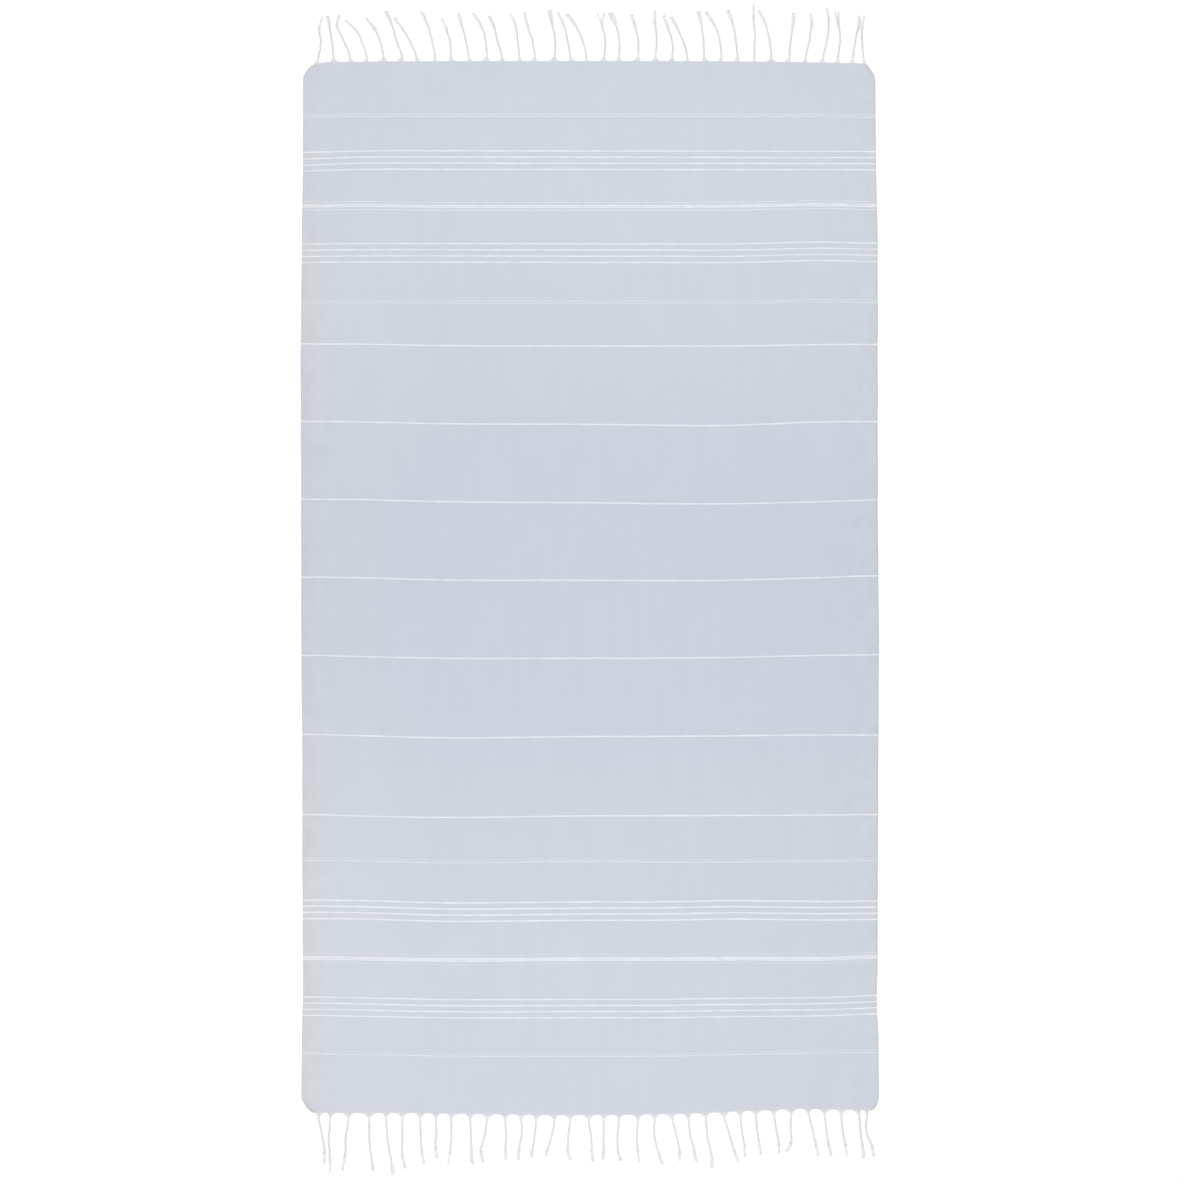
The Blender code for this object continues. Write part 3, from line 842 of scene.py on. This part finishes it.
def add_tail(bm, end, strand, tip, draw):
    """The loose yarn ends past the knot, a little spread and wavy."""
    yarn = TAIL_YARN_RADIUS
    for number in range(TAIL_YARNS):
        across = number / (TAIL_YARNS - 1) - 0.5
        length = draw.uniform(*TAIL_LENGTH[end])
        height = draw.uniform(*TAIL_HEIGHT)
        phase = draw.uniform(0, 2 * math.pi)
        rings = []
        for along in evenly(TAIL_STEPS):
            spot = strand_spot(end, strand, blend(strand.tied, 1, along * length))
            wave = TAIL_WAVE * math.sin(phase + TAIL_WAVE_ANGLE * along) * along
            sideways = across * blend(TAIL_NECK, tip.spread, ease(along / SPREAD_BY)) + wave
            point = spot.centre + spot.right * sideways * MM
            point.z = yarn + (spot.centre.z - yarn) * (1 - TAIL_DROP * along) * height
            radius = yarn * taper(along)
            rings.append(Ring(point, UP, radius, radius))
        add_yarn(bm, rings, TAIL_SIDES)


def add_spur(bm, end, strand, side, draw):
    """A short end that sticks out of the knot to one side."""
    spot = strand_spot(end, strand, strand.tied)
    length = draw.uniform(*SPUR_LENGTH) * MM
    back = draw.uniform(*SPUR_BACK)
    rings = []
    for along in evenly(SPUR_STEPS):
        point = spot.centre + spot.right * side * (KNOT_RADIUS / 2 + length * along)
        point += spot.run * length * back * along * along
        point.z = blend(spot.centre.z, TAIL_YARN_RADIUS, along)
        radius = TAIL_YARN_RADIUS * blend(*SPUR_THICK, along)
        rings.append(Ring(point, UP, radius, radius))
    add_yarn(bm, rings, SPUR_SIDES)


def add_gather(bm, end, strand, first, last):
    """The warp ends of one strand, drawn together from a stretch of the cloth's edge."""
    gather = GATHERS[end]
    count = max(FEWEST_WARP_ENDS, round((last - first) * MM / WARP_END_PITCH))
    for number in range(count):
        place = (number + 0.5) / count
        base = blend(first, last, place) * MM
        side = 2 * place - 1
        level = math.sqrt(max(0.0, 1 - side * side)) * (1 if number % 2 else -1)
        outline = edge_y(end, base) - OUTWARD[end] * corner_depth(end, base)
        inside = outline - OUTWARD[end] * WARP_END_TUCK
        start = Vector((base, inside, MID_HEIGHT))
        high = WARP_END_HIGH * WARP_END_FLAT
        rings = [Ring(start, UP, WARP_END_WIDE, high, gather.matted)]
        for share in evenly(WARP_END_STEPS):
            t = share ** WARP_END_POWER
            out = gather.length * MM * t
            centre = strand_axis(end, strand, share_at(strand, out))
            fan = 1 - math.sqrt(1 - (1 - t) ** 2) if gather.round else 1 - t
            x = centre.x + (base - strand.root * MM) * fan + BUNDLE_WIDE * side * (1 - fan)
            z = centre.z + BUNDLE_HIGH * level * (1 - fan)
            y = blend(centre.y, outline + OUTWARD[end] * out, fan)
            matted = gather.matted * (1 - ease(t))
            rings.append(Ring(Vector((x, y, z)), UP, WARP_END_WIDE, WARP_END_HIGH, matted))
        add_yarn(bm, rings, WARP_END_SIDES)


def gather_bounds(end, draw):
    """Where the warp ends of each strand start and stop along the cloth's edge."""
    gather, strands = GATHERS[end], STRANDS[end]
    roots = [strand.root for strand in strands]
    roots = [2 * roots[0] - roots[1]] + roots + [2 * roots[-1] - roots[-2]]
    partings = [
        (left + right) / 2 + draw.uniform(-PARTING_WANDER, PARTING_WANDER)
        for left, right in zip(roots, roots[1:])
    ]
    bounds = []
    for strand, left, right in zip(strands, partings, partings[1:]):
        bounds.append([
            blend(strand.root, parting, gather.share + draw.uniform(-gather.uneven, gather.uneven))
            for parting in (left, right)
        ])
    to_left, to_right = OUTER_GATHER[end]
    bounds[0][0] = strands[0].root - to_left
    bounds[-1][1] = strands[-1].root + to_right
    return bounds


def make_fringe(end, material):
    """One end's strands, each gathered from the warp, twisted, knotted and left loose."""
    bm = bmesh.new()
    bm.verts.layers.float.new("matted")
    draw = random.Random(end)
    bounds = gather_bounds(end, draw)
    for number, (strand, (first, last)) in enumerate(zip(STRANDS[end], bounds), 1):
        tip = TIPS[end].get(number, Tip(draw.uniform(*TAIL_SPREAD[end])))
        add_gather(bm, end, strand, first, last)
        add_plies(bm, end, strand, draw)
        add_knot(bm, end, strand, draw)
        add_end = add_prongs if tip.forked else add_tail
        add_end(bm, end, strand, tip, draw)
        for side in tip.spurs:
            add_spur(bm, end, strand, side, draw)
    return new_piece(f"fringe_{end}_yarns", bm, material, f"fringe_{end}")


# ---- materials ----
def add_node(tree, kind, inputs=None, **settings):
    """A new node, its inputs set to values or linked to sockets."""
    node = tree.nodes.new(kind)
    for name, value in settings.items():
        setattr(node, name, value)
    for key, value in (inputs or {}).items():
        if isinstance(value, bpy.types.NodeSocket):
            tree.links.new(value, node.inputs[key])
        else:
            node.inputs[key].default_value = value
    return node


def maths(tree, operation, first, second=0.0):
    """The result of one sum on two sockets or numbers."""
    return add_node(tree, "ShaderNodeMath", {0: first, 1: second}, operation=operation).outputs[0]


def thread_wave(tree, place, pitch):
    """A wave that changes its sign from thread to thread."""
    return maths(tree, "SINE", maths(tree, "MULTIPLY", place, math.pi / pitch))


def map_range(tree, value, start, end, low, high):
    """A value that eases from low to high as another goes from start to end."""
    inputs = {0: value, 1: start, 2: end, 3: low, 4: high}
    return add_node(
        tree, "ShaderNodeMapRange", inputs, interpolation_type="SMOOTHSTEP"
    ).outputs[0]


def fade(tree, distance, span):
    """A value that eases from 1 to 0 as a distance goes from one end of a span to the other."""
    return map_range(tree, distance, *span, 1.0, 0.0)


def noise_texture(tree, coords, scale):
    """The value of a noise texture."""
    inputs = {"Vector": coords, "Scale": scale, "Detail": NOISE_DETAIL}
    return add_node(tree, "ShaderNodeTexNoise", inputs).outputs[0]


def drift(tree, coords, strength, scale):
    """A factor that wanders round 1 by about a strength, over features of 1 / scale."""
    stretched = add_node(
        tree, "ShaderNodeVectorMath", {0: coords, 1: scale}, operation="MULTIPLY"
    ).outputs[0]
    cloud = noise_texture(tree, stretched, 1.0)
    return map_range(tree, cloud, *NOISE_SPAN, 1 - strength, 1 + strength)


def cloth_drift(tree, weave, uneven):
    """A factor for one kind of unevenness of the cloth."""
    return drift(tree, weave, uneven.strength, (uneven.across, uneven.along, 0))


def measure(tree, name):
    """A measure that the mesh keeps at its vertices."""
    return add_node(tree, "ShaderNodeAttribute", attribute_name=name).outputs["Fac"]


def mixed(tree, share, first, second, blend_type):
    """Two colours mixed. Sockets 6, 7 and 2 of a mix node are its two colours and the result."""
    return add_node(
        tree, "ShaderNodeMix", {0: share, 6: first, 7: second}, data_type="RGBA",
        blend_type=blend_type,
    ).outputs[2]


def tinted(tree, colour, near, tint):
    """The colour multiplied by a tint, as far as a value says."""
    return mixed(tree, near, colour, tint, "MULTIPLY")


def finish_material(tree, shader, colour, tone, height, bump):
    """The colour times a tone, and a bump, joined to the shader."""
    toned = add_node(tree, "ShaderNodeVectorMath", {0: colour, "Scale": tone}, operation="SCALE")
    tree.links.new(toned.outputs[0], shader.inputs["Base Color"])
    inputs = {"Strength": bump.strength, "Distance": bump.depth, "Height": height}
    normal = add_node(tree, "ShaderNodeBump", inputs)
    tree.links.new(normal.outputs[0], shader.inputs["Normal"])


def new_material(name, values):
    """A material with these values, and its tree and shader."""
    material = bpy.data.materials.new(name)
    material.use_nodes = True
    tree = material.node_tree
    shader = tree.nodes["Principled BSDF"]
    for socket, value in values.items():
        shader.inputs[socket].default_value = value
    return material, tree, shader


def cloth_material():
    """Plain weave of a pale warp and a grey-blue weft, with the unevenness of the loom.

    Painted light and shade: warmer light towards the ends, and shade in the creases, the folds, the
    small wrinkles and the selvedge beads.
    """
    material, tree, shader = new_material("cloth", COTTON)
    uv = add_node(tree, "ShaderNodeUVMap", uv_map="weave").outputs[0]
    x, y = add_node(tree, "ShaderNodeSeparateXYZ", {0: uv}).outputs[:2]
    warp, weft = thread_wave(tree, x, WARP_PITCH), thread_wave(tree, y, WEFT_PITCH)
    crossing = maths(tree, "MULTIPLY", warp, weft)
    on_top = map_range(tree, crossing, -WEAVE_BLEND, WEAVE_BLEND, 0.0, 1.0)
    colour = mixed(tree, on_top, WEFT_COLOUR, WARP_COLOUR, "MIX")

    from_left, from_right, from_end, painted_crease_shade = (measure(tree, name) for name in MEASURES)
    below_top, by_left = fade(tree, y, LEFT_TOP_SPAN), fade(tree, from_left, LEFT_SIDE_SPAN)
    for near, tint in (
        # painted warm light towards the ends
        (map_range(tree, maths(tree, "ABSOLUTE", y), *LENGTH_SPAN, 0.0, 1.0), PAINTED_END_LIGHT),
        (maths(tree, "MULTIPLY", fade(tree, from_left, LEFT_SPAN), below_top), LEFT_TINT),
        (maths(tree, "MAXIMUM", by_left, fade(tree, from_right, RIGHT_SIDE_SPAN)), SIDE_TINT),
        (fade(tree, from_end, END_SPAN), END_TINT),
    ):
        colour = tinted(tree, colour, near, tint)

    # painted shade and light of the small wrinkles by the selvedges, mottled at random
    near_side = fade(tree, maths(tree, "MINIMUM", from_left, from_right), WRINKLE_SHADE_SPAN)
    wrinkle_shade = maths(tree, "SUBTRACT", cloth_drift(tree, uv, WRINKLE_SHADE_MOTTLE), 1.0)
    # the painted shade of the creases and folds darkens the tone
    tone = maths(tree, "SUBTRACT", 1.0, painted_crease_shade)
    for factor in (
        maths(tree, "ADD", maths(tree, "MULTIPLY", wrinkle_shade, near_side), 1.0),
        cloth_drift(tree, uv, STREAKS),
        cloth_drift(tree, uv, BARS),
        cloth_drift(tree, uv, CLOUDS),
        # painted shade along the selvedge beads
        map_range(tree, from_left, *BEAD_SPAN, LEFT_BEAD_SHADE, 1.0),
        map_range(tree, from_right, *BEAD_SPAN, RIGHT_BEAD_SHADE, 1.0),
        map_range(tree, from_end, *LOOSE_SPAN, LOOSE_END, 1.0),
    ):
        tone = maths(tree, "MULTIPLY", tone, factor)
    finish_material(tree, shader, colour, tone, maths(tree, "ABSOLUTE", crossing), WEAVE_BUMP)
    return material


def yarn_material(name, yarn):
    """Soft white cotton yarn, greyer with matting in the gathers and with painted shade in the
    knots.
    """
    material, tree, shader = new_material(name, COTTON)
    coords = add_node(tree, "ShaderNodeTexCoord").outputs["Object"]
    tone = drift(tree, coords, yarn.unevenness, (YARN_DRIFT, YARN_DRIFT, YARN_DRIFT))
    if yarn.crossed:
        x = add_node(tree, "ShaderNodeSeparateXYZ", {0: coords}).outputs[0]
        wave = thread_wave(tree, x, WARP_PITCH)
        covered = map_range(tree, wave, *WARP_CROSSING, 1.0, 1 - yarn.crossed)
        tone = maths(tree, "MULTIPLY", tone, covered)
    fibres = noise_texture(tree, coords, FIBRES_PER_METRE)
    # greyer for matting in a gather, and for painted shade in a knot
    colour = tinted(tree, yarn.colour, measure(tree, "matted"), MATTING_AND_SHADE_TINT)
    finish_material(tree, shader, colour, tone, fibres, FIBRE_BUMP)
    return material


# ---- studio ----
def make_floor():
    """A plain pale floor under the towel."""
    bm = bmesh.new()
    bmesh.ops.create_grid(bm, x_segments=1, y_segments=1, size=FLOOR_REACH)
    floor = new_mesh_object("floor", bm, new_material("floor", FLOOR)[0])
    floor.location.z = FLOOR_HEIGHT


def make_light(name, lamp):
    """One of the lamps."""
    area = bpy.data.lights.new(name, "AREA")
    area.shape = "RECTANGLE"
    area.size, area.size_y = lamp.size
    area.energy = lamp.power
    light = new_object(name, area)
    light.location = lamp.place
    light.rotation_euler = (-Vector(lamp.place)).to_track_quat("-Z", "Y").to_euler()
    light.visible_camera = False


def make_studio():
    """Even light from all round, and the lamps."""
    world = bpy.data.worlds.new("studio")
    world.use_nodes = True
    background = world.node_tree.nodes["Background"]
    background.inputs["Color"].default_value = (1.0, 1.0, 1.0, 1.0)
    background.inputs["Strength"].default_value = SKY_STRENGTH
    bpy.context.scene.world = world
    bpy.context.scene.view_settings.view_transform = "Standard"
    for name, lamp in LAMPS.items():
        make_light(name, lamp)


def make_camera():
    """Straight above the towel, with the top fringe at the top of the picture."""
    lens = bpy.data.cameras.new("camera")
    lens.sensor_width = SENSOR_WIDTH
    lens.lens = SENSOR_WIDTH * CAMERA_HEIGHT / PICTURE_SPAN
    camera = new_object("camera", lens)
    camera.location = (*PICTURE_CENTRE, CAMERA_HEIGHT)
    bpy.context.scene.camera = camera


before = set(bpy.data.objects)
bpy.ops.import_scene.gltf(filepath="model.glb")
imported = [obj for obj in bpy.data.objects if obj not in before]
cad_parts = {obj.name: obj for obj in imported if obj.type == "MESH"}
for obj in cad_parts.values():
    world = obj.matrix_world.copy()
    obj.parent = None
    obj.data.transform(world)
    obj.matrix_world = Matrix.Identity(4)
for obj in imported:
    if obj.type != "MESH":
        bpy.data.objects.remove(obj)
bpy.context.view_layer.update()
make_camera()
make_studio()
make_floor()
cloth = make_cloth(cloth_material())
wefts = make_white_wefts(yarn_material("white_weft", WHITE_WEFT))
yarn = yarn_material("fringe_yarn", FRINGE_YARN)
fringes = [make_fringe(end, yarn) for end in EDGES]
